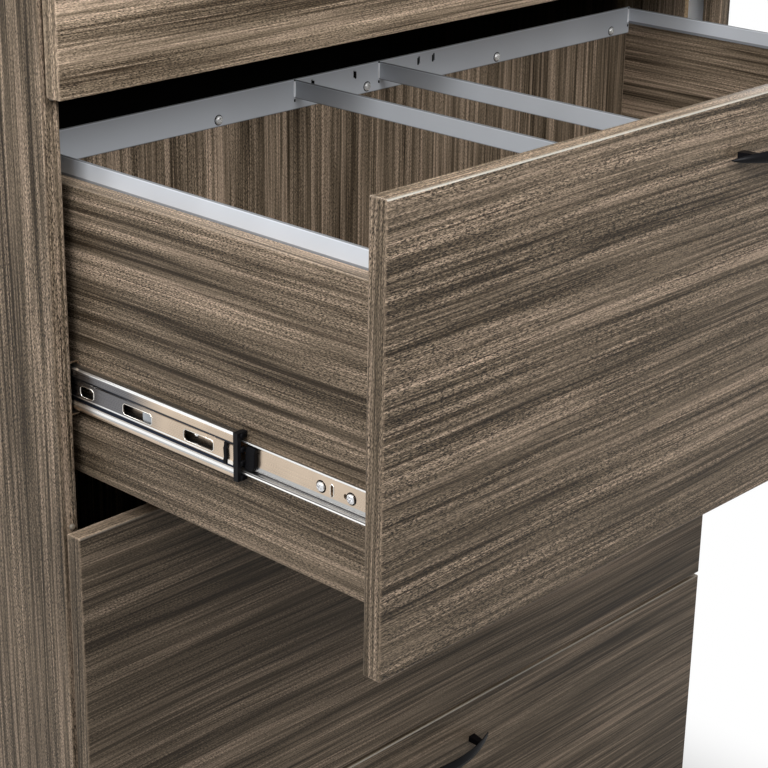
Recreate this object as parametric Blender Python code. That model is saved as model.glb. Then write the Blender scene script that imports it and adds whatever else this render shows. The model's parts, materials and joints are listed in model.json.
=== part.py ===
"""Four-drawer lateral filing cabinet in wood-grain laminate, with its second drawer pulled out.

Metres. X runs along the drawer fronts, +Y to the back, +Z up. Drawer 1 is the top one.
Fronts, boards, file frames, slides and handles are separate solids, CLEAR apart where they touch.
"""
import math

import bmesh
import bpy

MM = 0.001

# Cabinet
WIDTH = 902 * MM
DRAWERS = 4
BOARD_T = 16 * MM
TOP_T = 25 * MM
SLIDE_L = 450 * MM              # the slides set the depth of boxes and cabinet
BACK_SPACE = 30 * MM            # between a closed drawer and the back board
BASE_H = 60 * MM                # floor to the underside of the bottom board
PLINTH_SETBACK = 35 * MM
BACK_T = 6 * MM
BACK_INSET = 6 * MM
BUMPER_GAP = 3 * MM             # between the boards' edges and the closed fronts
CLEAR = 0.3 * MM                # between touching pieces
EDGE_R = 1.3 * MM               # rounding of edge-banded boards

# Drawer fronts
FRONT_H = 350 * MM
FRONT_GAP = 4 * MM
REVEAL = 2 * MM                 # side board beyond the front's end
FRONT_BASE = BASE_H + 2 * MM
FRONT_W = WIDTH - 2 * REVEAL
FRONT_PITCH = FRONT_H + FRONT_GAP
HEIGHT = FRONT_BASE + DRAWERS * FRONT_PITCH + TOP_T
DEPTH = BOARD_T + SLIDE_L + BACK_SPACE + BACK_T + BACK_INSET    # closed fronts' faces to the back

# Travel
OPEN_DRAWER = 2
OPEN_BY = 332 * MM
MID_RATIO = 0.585               # slide's middle member's share of the drawer's travel

# Drawer box, heights counted down from its front's top edge
SLIDE_SPACE = 12.7 * MM
SIDE_T = 16 * MM
BOX_TOP = 70 * MM
BOX_RAISE = 38 * MM             # above the front's lower edge
BOX_FOOT = FRONT_H - BOX_RAISE
BOX_L = SLIDE_L
TRAY_T = 10 * MM
TRAY_RAISE = 4 * MM
BOX_X = WIDTH / 2 - BOARD_T - SLIDE_SPACE       # outer face of the drawer's side
BOX_IN_X = BOX_X - SIDE_T

# Hanging-file frame
SHEET = 1.5 * MM
RAIL_TOP = 54 * MM
RAIL_H = 28 * MM
BAR_TOP = 55 * MM
BAR_H = 16.5 * MM
LETTER = 312 * MM               # rail to rail for letter, A4 and legal folders
A4 = 333 * MM
LEGAL = 388 * MM
SLOT_W = 2.4 * MM
SLOT_H = 7 * MM
TONGUE_H = 5.6 * MM
TONGUE_L = 3 * MM
RAIL_STAND = 6 * MM             # front rail's web off the front's back face
RAIL_FOOT_H = 16 * MM

# Ball-bearing slides, heights from the slide's middle line, depths from the side board
SLIDE_UP = 116 * MM             # middle line above the front's lower edge
STEEL = 1.2 * MM
OUTER_H = 45.5 * MM
MID_H = 37 * MM
INNER_H = 26.8 * MM
OUTER_REACH = 9.5 * MM
MID_FACE = 3.6 * MM
MID_WEB = 5.4 * MM
MID_REACH = 11 * MM
INNER_LIP = 7.4 * MM
LIP = 2.6 * MM
INNER_LIP_H = 2 * MM
BEND_R = 1.5 * MM
BEAD_R = 2.4 * MM
STEP_H = 15 * MM                # height of the middle member's set-back web
STEP_RISE = 2.4 * MM
OUTER_SET = 3 * MM              # outer member behind the board's front edge
MID_SET = 28 * MM               # closed front face to the middle member's end
MID_L = SLIDE_L - 10 * MM
CAP_L = 5 * MM
BALL_RUN = 110 * MM             # length of a row of balls in its cage
INNER_BALLS_AT = 60 * MM        # rows' starts behind the middle member's end
OUTER_BALLS_AT = MID_L - BALL_RUN - 10 * MM
WINDOWS = ((40.5 * MM, 33 * MM), (111 * MM, 34 * MM), (172 * MM, 16 * MM))  # middle from the end, length
WINDOW_H = 8.5 * MM

# Bow handle
HANDLE_DOWN = 45 * MM           # below the front's top edge
HANDLE_L = 137 * MM
HANDLE_FEET = 96 * MM
BOW_OUT = 24 * MM
TIP_OUT = 5.4 * MM
GRIP_H = 13 * MM
GRIP_T = 6.4 * MM
GRIP_EDGE = 1.35                # 1 is an oval section, 2 a diamond
TIP_D = 3 * MM
FOOT_W = 9 * MM
FOOT_H = 6 * MM

# Interlock groove in the right board
GROOVE_SET = 22.7 * MM          # behind the board's front edge
GROOVE_W = 23.6 * MM
GROOVE_DEEP = 9 * MM
LOCK_T = 2.5 * MM

# The part's box, open drawer and handle included, is centred on the origin
FACE_Y = (OPEN_BY + BOW_OUT + GRIP_T / 2 - DEPTH) / 2
BOARD_Y = FACE_Y + BOARD_T + BUMPER_GAP
REAR_Y = FACE_Y + DEPTH
IN_X = WIDTH / 2 - BOARD_T

MATERIALS = {
    "laminate": ((0.21, 0.17, 0.13, 1), 0.55, 0.0),
    "frame_steel": ((0.42, 0.44, 0.46, 1), 0.38, 0.8),
    "slide_zinc": ((0.72, 0.70, 0.66, 1), 0.22, 1.0),
    "handle_black": ((0.012, 0.012, 0.013, 1), 0.35, 0.0),
    "slide_cap": ((0.015, 0.015, 0.016, 1), 0.5, 0.0),
}


def material(slot):
    """The slot's own Principled material, made once."""
    made = bpy.data.materials.get(slot)
    if made:
        return made
    colour, roughness, metallic = MATERIALS[slot]
    made = bpy.data.materials.new(slot)
    made.use_nodes = True
    shader = made.node_tree.nodes["Principled BSDF"]
    shader.inputs["Base Color"].default_value = colour
    shader.inputs["Roughness"].default_value = roughness
    shader.inputs["Metallic"].default_value = metallic
    return made


def prism(bm, outline, axis, low, high):
    """Adds a closed prism: the outline, in the two other axes in X, Y, Z order, drawn from low to high."""
    def point(u, v, w):
        place = [u, v]
        place.insert("xyz".index(axis), w)
        return bm.verts.new(place)

    ends = [[point(u, v, w) for u, v in outline] for w in (low, high)]
    faces = [bm.faces.new(ends[0]), bm.faces.new(ends[1][::-1])]
    for i in range(len(outline)):
        j = (i + 1) % len(outline)
        faces.append(bm.faces.new((ends[0][i], ends[1][i], ends[1][j], ends[0][j])))
    bmesh.ops.recalc_face_normals(bm, faces=faces)


def block(bm, low, high):
    """Adds a plain block between two corners."""
    (x0, y0, z0), (x1, y1, z1) = low, high
    prism(bm, [(x0, y0), (x1, y0), (x1, y1), (x0, y1)], "z", z0, z1)


def finish(name, bm, slot=None):
    """Makes the mesh a named object; without a material slot it is a tool for a Boolean."""
    mesh = bpy.data.meshes.new(name)
    bm.to_mesh(mesh)
    bm.free()
    obj = bpy.data.objects.new(name, mesh)
    bpy.context.scene.collection.objects.link(obj)
    if slot:
        mesh.materials.append(material(slot))
    else:
        obj.hide_render = True
        obj.display_type = "WIRE"
    return obj


def combine(obj, tool, operation):
    """Live exact Boolean of the object with a tool."""
    boolean = obj.modifiers.new(operation.lower(), "BOOLEAN")
    boolean.operation = operation
    boolean.solver = "EXACT"
    boolean.object = tool


def board(name, low, high):
    """Edge-banded laminate board with rounded edges."""
    bm = bmesh.new()
    block(bm, low, high)
    obj = finish(name, bm, "laminate")
    bevel = obj.modifiers.new("edges", "BEVEL")
    bevel.width = EDGE_R
    bevel.segments = 2
    bevel.limit_method = "ANGLE"
    return obj


def strip(path, thickness, radii, steps=3):
    """Closed outline of a bent strip: the path's line, each bend rounded to its radius, given its thickness."""
    line = [path[0]]
    for before, corner, after, radius in zip(path, path[1:-1], path[2:], radii):
        to_before = unit(before[0] - corner[0], before[1] - corner[1])
        to_after = unit(after[0] - corner[0], after[1] - corner[1])
        half = math.acos(to_before[0] * to_after[0] + to_before[1] * to_after[1]) / 2
        inward = unit(to_before[0] + to_after[0], to_before[1] + to_after[1])
        reach = radius / math.sin(half)
        centre = (corner[0] + inward[0] * reach, corner[1] + inward[1] * reach)
        run = radius / math.tan(half)
        first = (corner[0] + to_before[0] * run - centre[0], corner[1] + to_before[1] * run - centre[1])
        last = (corner[0] + to_after[0] * run - centre[0], corner[1] + to_after[1] * run - centre[1])
        turn = math.atan2(first[0] * last[1] - first[1] * last[0], first[0] * last[0] + first[1] * last[1])
        for step in range(steps + 1):
            c, s = math.cos(turn * step / steps), math.sin(turn * step / steps)
            line.append((centre[0] + first[0] * c - first[1] * s, centre[1] + first[0] * s + first[1] * c))
    line.append(path[-1])

    left, right = [], []
    for i, (u, v) in enumerate(line):
        u0, v0 = line[max(i - 1, 0)]
        u1, v1 = line[min(i + 1, len(line) - 1)]
        du, dv = unit(u1 - u0, v1 - v0)
        left.append((u - dv * thickness / 2, v + du * thickness / 2))
        right.append((u + dv * thickness / 2, v - du * thickness / 2))
    return left + right[::-1]


def unit(u, v):
    """The direction of a plane vector."""
    length = math.hypot(u, v)
    return u / length, v / length


def front_top(number):
    """Height of a drawer front's top edge."""
    return FRONT_BASE + (DRAWERS - number) * FRONT_PITCH + FRONT_H


def face_y(number):
    """Depth of a drawer front's face as the cabinet stands."""
    return FACE_Y - (OPEN_BY if number == OPEN_DRAWER else 0)


# Cabinet boards

def side_board(name, side):
    x = sorted((side * WIDTH / 2, side * IN_X))
    return board(name, (x[0], BOARD_Y, 0), (x[1], REAR_Y, HEIGHT - TOP_T - CLEAR))


def carcass():
    """Boards round the drawers, and the interlock bar in the right board's groove."""
    side_board("left_side_panel", -1)
    right = side_board("right_side_panel", 1)
    groove_y = BOARD_Y + GROOVE_SET
    groove_x = IN_X + GROOVE_DEEP
    bm = bmesh.new()
    block(bm, (IN_X - SHEET, groove_y, -SHEET), (groove_x, groove_y + GROOVE_W, HEIGHT))
    combine(right, finish("groove_tool", bm), "DIFFERENCE")

    bm = bmesh.new()
    lock_x = groove_x - CLEAR
    block(bm, (lock_x - LOCK_T, groove_y + CLEAR, BASE_H), (lock_x, groove_y + GROOVE_W - CLEAR, HEIGHT - TOP_T - SHEET))
    finish("interlock_bar", bm, "frame_steel")

    inner = IN_X - CLEAR
    back_y = REAR_Y - BACK_INSET - BACK_T
    board("top_panel", (-WIDTH / 2, FACE_Y, HEIGHT - TOP_T), (WIDTH / 2, REAR_Y, HEIGHT))
    board("bottom_panel", (-inner, BOARD_Y, BASE_H), (inner, back_y - CLEAR, BASE_H + BOARD_T))
    board("plinth_board", (-inner, BOARD_Y + PLINTH_SETBACK, 0),
          (inner, BOARD_Y + PLINTH_SETBACK + BOARD_T, BASE_H - CLEAR))
    board("back_panel", (-inner, back_y, BASE_H), (inner, back_y + BACK_T, HEIGHT - TOP_T - CLEAR))


# Ball-bearing slides

def both_ways(half_path, half_radii):
    """A path and its bends' radii, mirrored about the slide's middle line."""
    return half_path + [(depth, -height) for depth, height in half_path[::-1]], half_radii + half_radii[::-1]


def outer_path():
    """C-channel on the side board, its lips turned in round the outer balls."""
    flange = OUTER_H / 2 - STEEL / 2
    return both_ways([(OUTER_REACH, flange - LIP), (OUTER_REACH, flange), (CLEAR + STEEL / 2, flange)],
                     [BEND_R, BEND_R])


def mid_path():
    """Channel open to the drawer, its web stepped in between two flat bands."""
    flange = MID_H / 2 - STEEL / 2
    return both_ways([(MID_REACH, flange - LIP), (MID_REACH, flange), (MID_FACE, flange),
                      (MID_FACE, STEP_H / 2 + STEP_RISE), (MID_WEB, STEP_H / 2)],
                     [BEND_R, BEAD_R, BEAD_R, BEND_R])


def inner_path():
    """C-channel on the drawer's side, open to the cabinet, its lips turned out."""
    web = SLIDE_SPACE - CLEAR - STEEL / 2
    flange = INNER_H / 2 - INNER_LIP_H
    return both_ways([(INNER_LIP, INNER_H / 2), (INNER_LIP, flange), (web, flange)], [BEND_R, BEND_R])


def member(name, section, side, middle, start, length):
    """One slide member, drawn front to back from start; the section's depths count from the side board."""
    path, radii = section
    bm = bmesh.new()
    outline = strip([(side * (IN_X - depth), middle + height) for depth, height in path], STEEL, radii)
    prism(bm, outline, "y", start, start + length)
    return finish(name, bm, "slide_zinc")


def round_hole_outline(y, z, length, height, radius, steps=3):
    """Rectangle with rounded corners round a middle point; a slot when the radius is half its width."""
    points = []
    for corner, (sy, sz) in enumerate(((1, 1), (-1, 1), (-1, -1), (1, -1))):
        cy, cz = y + sy * (length / 2 - radius), z + sz * (height / 2 - radius)
        for step in range(steps + 1):
            angle = math.pi / 2 * (corner + step / steps)
            points.append((cy + radius * math.cos(angle), cz + radius * math.sin(angle)))
    return points


def ball_rows(name, side, middle, mid_y):
    """Tool that adds the caged balls, as bars, to the middle member: they carry it and the inner member."""
    track = MID_H / 2 - STEEL / 2
    outer = (OUTER_REACH - 4.5 * MM, OUTER_REACH - 1.8 * MM, track, OUTER_H / 2 - STEEL - CLEAR, OUTER_BALLS_AT)
    inner = (INNER_LIP + STEEL / 2 + CLEAR, MID_REACH - STEEL, track,
             INNER_H / 2 - INNER_LIP_H + STEEL / 2 + CLEAR, INNER_BALLS_AT)
    bm = bmesh.new()
    for near, far, base, tip, at in (outer, inner):
        for way in (-1, 1):
            x = sorted(side * (IN_X - depth) for depth in (near, far))
            z = sorted(middle + way * height for height in (base, tip))
            block(bm, (x[0], mid_y + at, z[0]), (x[1], mid_y + at + BALL_RUN, z[1]))
    return finish(name, bm)


def web_tool(name, side, outlines):
    """Tool that cuts the outlines through a slide member's web."""
    low, high = sorted((side * (IN_X + STEEL), side * (BOX_X - STEEL)))
    bm = bmesh.new()
    for outline in outlines:
        prism(bm, outline, "x", low, high)
    return finish(name, bm)


def end_cap(name, side, middle, start):
    """Plastic cap on the middle member's end, open towards the drawer for the inner member."""
    out_x, in_x, reach = MID_FACE - 1.2 * MM, INNER_LIP - 1.4 * MM, SLIDE_SPACE - 0.6 * MM
    outer, inner = MID_H / 2 + 0.8 * MM, INNER_H / 2 + 1 * MM
    half = [(reach, inner), (reach, outer), (out_x, outer)]
    path = half + [(x, -z) for x, z in half[::-1]] + [(in_x, -inner), (in_x, inner)]
    bm = bmesh.new()
    prism(bm, [(side * (IN_X - x), middle + z) for x, z in path], "y", start - CAP_L, start - CLEAR)
    finish(name, bm, "slide_cap")


def slides(number):
    """Both slides of one drawer. The middle members have run out by their share of the travel."""
    middle = front_top(number) - FRONT_H + SLIDE_UP
    mid_y = FACE_Y + MID_SET - MID_RATIO * (FACE_Y - face_y(number))
    inner_y = face_y(number) + BOARD_T + 2 * MM
    for hand, side in (("left", -1), ("right", 1)):
        tag = f"drawer_{number}_{hand}_slide"
        member(f"{tag}_outer", outer_path(), side, middle, BOARD_Y + OUTER_SET, SLIDE_L)
        mid = member(f"{tag}_middle", mid_path(), side, middle, mid_y, MID_L)
        combine(mid, ball_rows(f"{tag}_balls_tool", side, middle, mid_y), "UNION")
        inner = member(f"{tag}_inner", inner_path(), side, middle, inner_y, SLIDE_L)
        windows = [round_hole_outline(mid_y + at, middle, length, WINDOW_H, 1.6 * MM) for at, length in WINDOWS]
        combine(mid, web_tool(f"{tag}_window_tool", side, windows), "DIFFERENCE")
        slot = round_hole_outline(inner_y + 54 * MM, middle, 3.2 * MM, 10 * MM, 1.6 * MM)
        hole = round_hole_outline(inner_y + 40.5 * MM, middle, 4 * MM, 4 * MM, 2 * MM)
        combine(inner, web_tool(f"{tag}_slot_tool", side, [slot, hole]), "DIFFERENCE")
        if number == OPEN_DRAWER:
            end_cap(f"{tag}_cap", side, middle, mid_y)


# Hanging-file frame

def bar_places():
    """X of the four bars: side bar, letter bar, legal bar, side bar."""
    edge = BOX_IN_X - CLEAR - SHEET / 2
    return {"left": -edge, "letter": -edge + LETTER, "legal": edge - LEGAL, "right": edge}


def slot_places():
    """X of the rails' slots: the bars' own, then each folder size from either side bar, none run together."""
    places = list(bar_places().values())
    for sign in (-1, 1):
        for size in (LETTER, A4, LEGAL):
            x = sign * (bar_places()["right"] - size)
            if all(abs(x - other) > 2 * SLOT_W for other in places):
                places.append(x)
    return places


def rail_depths(number):
    """Front rail's web and rear rail's middle planes."""
    front = face_y(number) + BOARD_T + RAIL_STAND
    rear = face_y(number) + BOARD_T + BOX_L - SIDE_T - CLEAR - SHEET / 2
    return front, rear


def rail(name, number, path):
    """Rail drawn along X with the bars' slots cut through its upper part; path in Y and Z."""
    half = BOX_IN_X - CLEAR
    bm = bmesh.new()
    prism(bm, strip(path, SHEET, [SHEET] * len(path)), "x", -half, half)
    obj = finish(name, bm, "frame_steel")
    y = path[-1][0]
    z = front_top(number) - BAR_TOP - BAR_H / 2 + SHEET
    bm = bmesh.new()
    for x in slot_places():
        block(bm, (x - SLOT_W / 2, y - SHEET, z - SLOT_H / 2), (x + SLOT_W / 2, y + SHEET, z + SLOT_H / 2))
    combine(obj, finish(f"{name}_tool", bm), "DIFFERENCE")
    return obj


def rails(number, names):
    """Z-section rail behind the drawer's front, flat rail on the drawer's back."""
    top = front_top(number) - RAIL_TOP
    foot = top - RAIL_H
    front, rear = rail_depths(number)
    front_face = face_y(number) + BOARD_T + CLEAR + SHEET / 2
    z_path = [(front_face, foot - RAIL_FOOT_H), (front_face, foot), (front, foot), (front, top)]
    return (rail(names[0], number, z_path),
            rail(names[1], number, [(rear, foot), (rear, top)]))


def bar(bm, number, x, loose):
    """File bar. A loose one ends short of the rails and hooks a tongue through each slot."""
    top = front_top(number) - BAR_TOP
    foot = top - BAR_H
    front, rear = rail_depths(number)
    middle = (top + foot) / 2 + SHEET
    if not loose:
        block(bm, (x - SHEET / 2, front, foot), (x + SHEET / 2, rear, top))
        return
    near, far = front + SHEET / 2 + CLEAR, rear - SHEET / 2 - CLEAR
    low, high = middle - TONGUE_H / 2, middle + TONGUE_H / 2
    outline = [(near, foot), (far, foot), (far, low), (far + TONGUE_L, low), (far + TONGUE_L, high), (far, high),
               (far, top), (near, top), (near, high), (near - TONGUE_L, high), (near - TONGUE_L, low), (near, low)]
    prism(bm, outline, "x", x - SHEET / 2, x + SHEET / 2)


def loose_frame(number):
    """File frame in separate pieces: two rails and four hooked bars."""
    rails(number, (f"drawer_{number}_front_rail", f"drawer_{number}_rear_rail"))
    for place, x in bar_places().items():
        bm = bmesh.new()
        bar(bm, number, x, True)
        finish(f"drawer_{number}_{place}_bar", bm, "frame_steel")


def joined_frame(number):
    """File frame of a closed drawer as one solid."""
    frame, rear = rails(number, (f"drawer_{number}_file_frame", f"drawer_{number}_rear_rail_tool"))
    rear.hide_render = True
    rear.display_type = "WIRE"
    bm = bmesh.new()
    for x in bar_places().values():
        bar(bm, number, x, False)
    combine(frame, finish(f"drawer_{number}_bars_tool", bm), "UNION")
    combine(frame, rear, "UNION")


# Drawer boxes

def box_corners(number):
    """Front, back, foot and top of a drawer's wooden box."""
    front = face_y(number) + BOARD_T + CLEAR
    top = front_top(number) - BOX_TOP
    return front, face_y(number) + BOARD_T + BOX_L, front_top(number) - BOX_FOOT, top


def loose_box(number):
    """Drawer box in separate boards."""
    front, back, foot, top = box_corners(number)
    inner = BOX_IN_X - CLEAR
    tag = f"drawer_{number}"
    board(f"{tag}_left_side", (-BOX_X, front, foot), (-BOX_IN_X, back, top))
    board(f"{tag}_right_side", (BOX_IN_X, front, foot), (BOX_X, back, top))
    board(f"{tag}_back", (-inner, back - SIDE_T, foot), (inner, back, top))
    tray = foot + TRAY_RAISE
    board(f"{tag}_bottom", (-inner, front, tray), (inner, back - SIDE_T - CLEAR, tray + TRAY_T))


def joined_box(number):
    """Box of a closed drawer as one solid: sides, back and bottom, open to the front board."""
    front, back, foot, top = box_corners(number)
    box = board(f"drawer_{number}_box", (-BOX_X, front, foot), (BOX_X, back, top))
    tray = foot + TRAY_RAISE
    bm = bmesh.new()
    block(bm, (-BOX_IN_X, front - SHEET, tray + TRAY_T), (BOX_IN_X, back - SIDE_T, top + SHEET))
    block(bm, (-BOX_IN_X, front - SHEET, foot - SHEET), (BOX_IN_X, back - SIDE_T, tray))
    combine(box, finish(f"drawer_{number}_box_tool", bm), "DIFFERENCE")


# Handles

def edged(value):
    """Sine or cosine drawn in, so that a round section gets ridges."""
    return math.copysign(abs(value) ** GRIP_EDGE, value)


def handle(number):
    """Bow handle: a ridged bar, thick in the middle and pointed at the tips, on two wedge feet."""
    steps, sides = 26, 12
    face = face_y(number)
    middle = front_top(number) - HANDLE_DOWN
    bm = bmesh.new()
    rings = []
    for step in range(steps + 1):
        t = -math.cos(math.pi * step / steps)
        out = TIP_OUT + (BOW_OUT - TIP_OUT) * (1 - t * t)
        swell = 1 - t * t
        point = math.sqrt(max(1 - abs(t) ** 16, 0.04))
        half_h = (TIP_D + (GRIP_H - TIP_D) * swell) / 2 * point
        half_t = (TIP_D + (GRIP_T - TIP_D) * swell) / 2 * point
        ring = []
        for i in range(sides):
            angle = 2 * math.pi * i / sides
            ring.append(bm.verts.new((t * HANDLE_L / 2, face - out + half_t * edged(math.cos(angle)),
                                      middle + half_h * edged(math.sin(angle)))))
        rings.append(ring)
    for near, far in zip(rings, rings[1:]):
        for i in range(sides):
            j = (i + 1) % sides
            bm.faces.new((near[i], near[j], far[j], far[i]))
    bm.faces.new(rings[0][::-1])
    bm.faces.new(rings[-1])
    bmesh.ops.recalc_face_normals(bm, faces=bm.faces)
    grip = finish(f"drawer_{number}_handle", bm, "handle_black")

    t = HANDLE_FEET / HANDLE_L
    depth = TIP_OUT + (BOW_OUT - TIP_OUT) * (1 - t * t)
    bm = bmesh.new()
    for side in (-1, 1):
        x = side * HANDLE_FEET / 2
        outline = [(x - FOOT_W / 2, face - CLEAR), (x + FOOT_W / 2, face - CLEAR),
                   (x + FOOT_W / 3 - side * 2 * MM, face - depth), (x - FOOT_W / 3 - side * 2 * MM, face - depth)]
        prism(bm, outline, "z", middle - FOOT_H / 2, middle + FOOT_H / 2)
    combine(grip, finish(f"drawer_{number}_feet_tool", bm), "UNION")


def drawer(number):
    """One drawer with its front, handle, box, file frame and slides."""
    top = front_top(number)
    face = face_y(number)
    board(f"drawer_{number}_front", (-FRONT_W / 2, face, top - FRONT_H), (FRONT_W / 2, face + BOARD_T, top))
    handle(number)
    if number == OPEN_DRAWER:
        loose_box(number)
        loose_frame(number)
    else:
        joined_box(number)
        joined_frame(number)
    slides(number)


def main():
    for obj in list(bpy.data.objects):
        bpy.data.objects.remove(obj)
    carcass()
    for number in range(1, DRAWERS + 1):
        drawer(number)


main()
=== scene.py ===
"""Lateral filing cabinet, second drawer out: finishes, slide fittings, handles and the picture's room."""

import json
import math

import bmesh
import bpy
from mathutils import Euler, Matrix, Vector


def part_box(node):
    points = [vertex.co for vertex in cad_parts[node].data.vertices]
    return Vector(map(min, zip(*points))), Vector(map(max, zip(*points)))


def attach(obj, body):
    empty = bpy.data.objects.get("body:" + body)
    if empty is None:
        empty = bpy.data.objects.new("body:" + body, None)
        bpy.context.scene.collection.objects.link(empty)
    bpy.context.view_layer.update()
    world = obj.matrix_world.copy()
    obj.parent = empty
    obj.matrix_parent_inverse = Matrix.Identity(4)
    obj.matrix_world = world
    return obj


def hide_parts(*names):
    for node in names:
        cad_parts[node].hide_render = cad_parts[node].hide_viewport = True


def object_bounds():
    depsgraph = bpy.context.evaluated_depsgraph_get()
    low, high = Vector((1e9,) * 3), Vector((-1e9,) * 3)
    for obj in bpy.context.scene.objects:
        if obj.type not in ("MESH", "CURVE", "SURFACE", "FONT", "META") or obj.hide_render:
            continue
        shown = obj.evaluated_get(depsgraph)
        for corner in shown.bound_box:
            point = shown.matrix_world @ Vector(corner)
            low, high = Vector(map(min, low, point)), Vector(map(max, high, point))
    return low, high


bl_info = {
    "name": "Lateral Filing Cabinet",
    "version": (1, 0, 0),
    "blender": (4, 5, 0),
    "location": "View3D > Sidebar > Cabinet",
    "description": "Dresses a laminate filing cabinet with grain, file frames, ball slides and bow handles",
    "category": "Object",
}

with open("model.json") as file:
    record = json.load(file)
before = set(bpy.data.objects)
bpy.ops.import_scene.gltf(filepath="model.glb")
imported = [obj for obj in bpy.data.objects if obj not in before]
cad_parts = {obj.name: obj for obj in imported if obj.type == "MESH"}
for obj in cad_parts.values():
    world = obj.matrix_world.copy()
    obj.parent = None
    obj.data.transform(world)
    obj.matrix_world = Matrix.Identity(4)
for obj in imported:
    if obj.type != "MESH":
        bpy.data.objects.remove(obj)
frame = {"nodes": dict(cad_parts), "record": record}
NODES = frame["nodes"]
CAD_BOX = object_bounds()
MM = 0.001
DRAWERS = (1, 2, 3, 4)
OPEN_DRAWER = 2


# Sizes and colours a user may change

class LaminateSettings(bpy.types.PropertyGroup):
    """Wood-grain laminate."""
    light: bpy.props.FloatVectorProperty(
        name="Light grain", description="Pinkish tan between the streaks", subtype="COLOR",
        default=(0.425, 0.322, 0.238), min=0, max=1)
    middle: bpy.props.FloatVectorProperty(
        name="Middle grain", description="Grey-brown ground", subtype="COLOR",
        default=(0.168, 0.129, 0.090), min=0, max=1)
    dark: bpy.props.FloatVectorProperty(
        name="Dark grain", description="Streaks and pores", subtype="COLOR",
        default=(0.029, 0.020, 0.012), min=0, max=1)
    band: bpy.props.FloatProperty(
        name="Band width", description="Width of the broad tone bands across the grain",
        default=0.034, min=0.005, max=0.2, unit="LENGTH")
    sheen: bpy.props.FloatProperty(
        name="Roughness", description="Roughness of the printed face", default=0.46, min=0, max=1)


class MetalSettings(bpy.types.PropertyGroup):
    """File frame and slides."""
    paint: bpy.props.FloatVectorProperty(
        name="Frame paint", description="Cool grey of rails and bars", subtype="COLOR",
        default=(0.53, 0.56, 0.605), min=0, max=1)
    # The plate's own colour, tinted tan as a painted reflection of the warm wood and floor round the slides
    zinc: bpy.props.FloatVectorProperty(
        name="Zinc plate", description="Plate on the flats of the slides", subtype="COLOR",
        default=(0.60, 0.485, 0.375), min=0, max=1)
    # Painted highlight: colour of the bright bands on the slides' beads
    polish: bpy.props.FloatVectorProperty(
        name="Polished beads", description="Plate where the balls and rollers have polished it",
        subtype="COLOR", default=(0.95, 0.95, 0.94), min=0, max=1)
    # Painted shade: colour of the dark bands in the slides' folds
    grease: bpy.props.FloatVectorProperty(
        name="Grease", description="Dark grease in the folds of the slides", subtype="COLOR",
        default=(0.014, 0.018, 0.028), min=0, max=1)
    screw_head: bpy.props.FloatProperty(
        name="Screw head", description="Diameter of the pan heads", default=0.0080, min=0.002, max=0.02,
        unit="LENGTH")


class HandleSettings(bpy.types.PropertyGroup):
    """Bow handles."""
    colour: bpy.props.FloatVectorProperty(
        name="Finish", description="Satin black", subtype="COLOR", default=(0.005, 0.005, 0.006), min=0,
        max=1)
    edge: bpy.props.FloatProperty(
        name="Edge", description="1 gives an oval section, 2 a diamond", default=1.35, min=1, max=2)


class StageSettings(bpy.types.PropertyGroup):
    """Light and camera."""
    front: bpy.props.FloatProperty(
        name="Front light", description="Large, high, before the cabinet", default=13.5, min=0,
        unit="POWER")
    near: bpy.props.FloatProperty(
        name="Near light", description="Small, before and above the open drawer", default=18.0, min=0,
        unit="POWER")
    left: bpy.props.FloatProperty(
        name="Left light", description="Large, to the left of the camera", default=12.2, min=0,
        unit="POWER")
    rear: bpy.props.FloatProperty(
        name="Rear light", description="Left and behind, rakes the drawer's side", default=25.4, min=0,
        unit="POWER")
    side: bpy.props.FloatProperty(
        name="Side light", description="Close to the drawer's left side", default=23.7, min=0,
        unit="POWER")
    fill: bpy.props.FloatProperty(
        name="Fill light", description="Right and behind, lights the far side and the back", default=34.0,
        min=0, unit="POWER")
    sky: bpy.props.FloatProperty(
        name="Room", description="Strength of the pale room", default=0.15, min=0)
    lens: bpy.props.FloatProperty(
        name="Lens", description="Focal length in millimetres", default=94.5, min=10)
    place: bpy.props.FloatVectorProperty(
        name="Camera", description="Camera's place", subtype="XYZ", unit="LENGTH",
        default=(-1.3463, -1.2462, 1.4812))
    turn: bpy.props.FloatVectorProperty(
        name="Camera turn", description="Camera's angles", subtype="EULER", unit="ROTATION",
        default=tuple(math.radians(a) for a in (68.402, -0.863, -46.557)))


SETTINGS = {"cabinet_laminate": LaminateSettings, "cabinet_metal": MetalSettings,
            "cabinet_handles": HandleSettings, "cabinet_stage": StageSettings}


# Node trees

class Socket:
    """A value, vector or geometry output on which maths can be written."""

    def __init__(self, net, socket):
        self.net = net
        self.socket = socket

    def _math(self, operation, *values):
        return self.net.node("ShaderNodeMath", {"operation": operation}, *values)

    def __add__(self, other):
        return self._math("ADD", self, other)

    def __radd__(self, other):
        return self._math("ADD", other, self)

    def __sub__(self, other):
        return self._math("SUBTRACT", self, other)

    def __rsub__(self, other):
        return self._math("SUBTRACT", other, self)

    def __mul__(self, other):
        return self._math("MULTIPLY", self, other)

    def __rmul__(self, other):
        return self._math("MULTIPLY", other, self)

    def __truediv__(self, other):
        return self._math("DIVIDE", self, other)

    def __gt__(self, other):
        return self._math("GREATER_THAN", self, other)

    def __lt__(self, other):
        return self._math("LESS_THAN", self, other)

    def size(self):
        """Absolute value."""
        return self._math("ABSOLUTE", self)

    def sign(self):
        return self._math("SIGN", self)

    def power(self, other):
        return self._math("POWER", self, other)

    def root(self):
        return self._math("SQRT", self)

    def sine(self):
        return self._math("SINE", self)

    def more(self, other):
        """The greater of the two."""
        return self._math("MAXIMUM", self, other)

    def less(self, other):
        """The lesser of the two."""
        return self._math("MINIMUM", self, other)

    def between(self, low, high, to_low=0.0, to_high=1.0):
        """Maps low..high to the new range smoothly and clamps it."""
        return self.net.node("ShaderNodeMapRange", {"interpolation_type": "SMOOTHSTEP"},
                             self, low, high, to_low, to_high)


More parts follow.
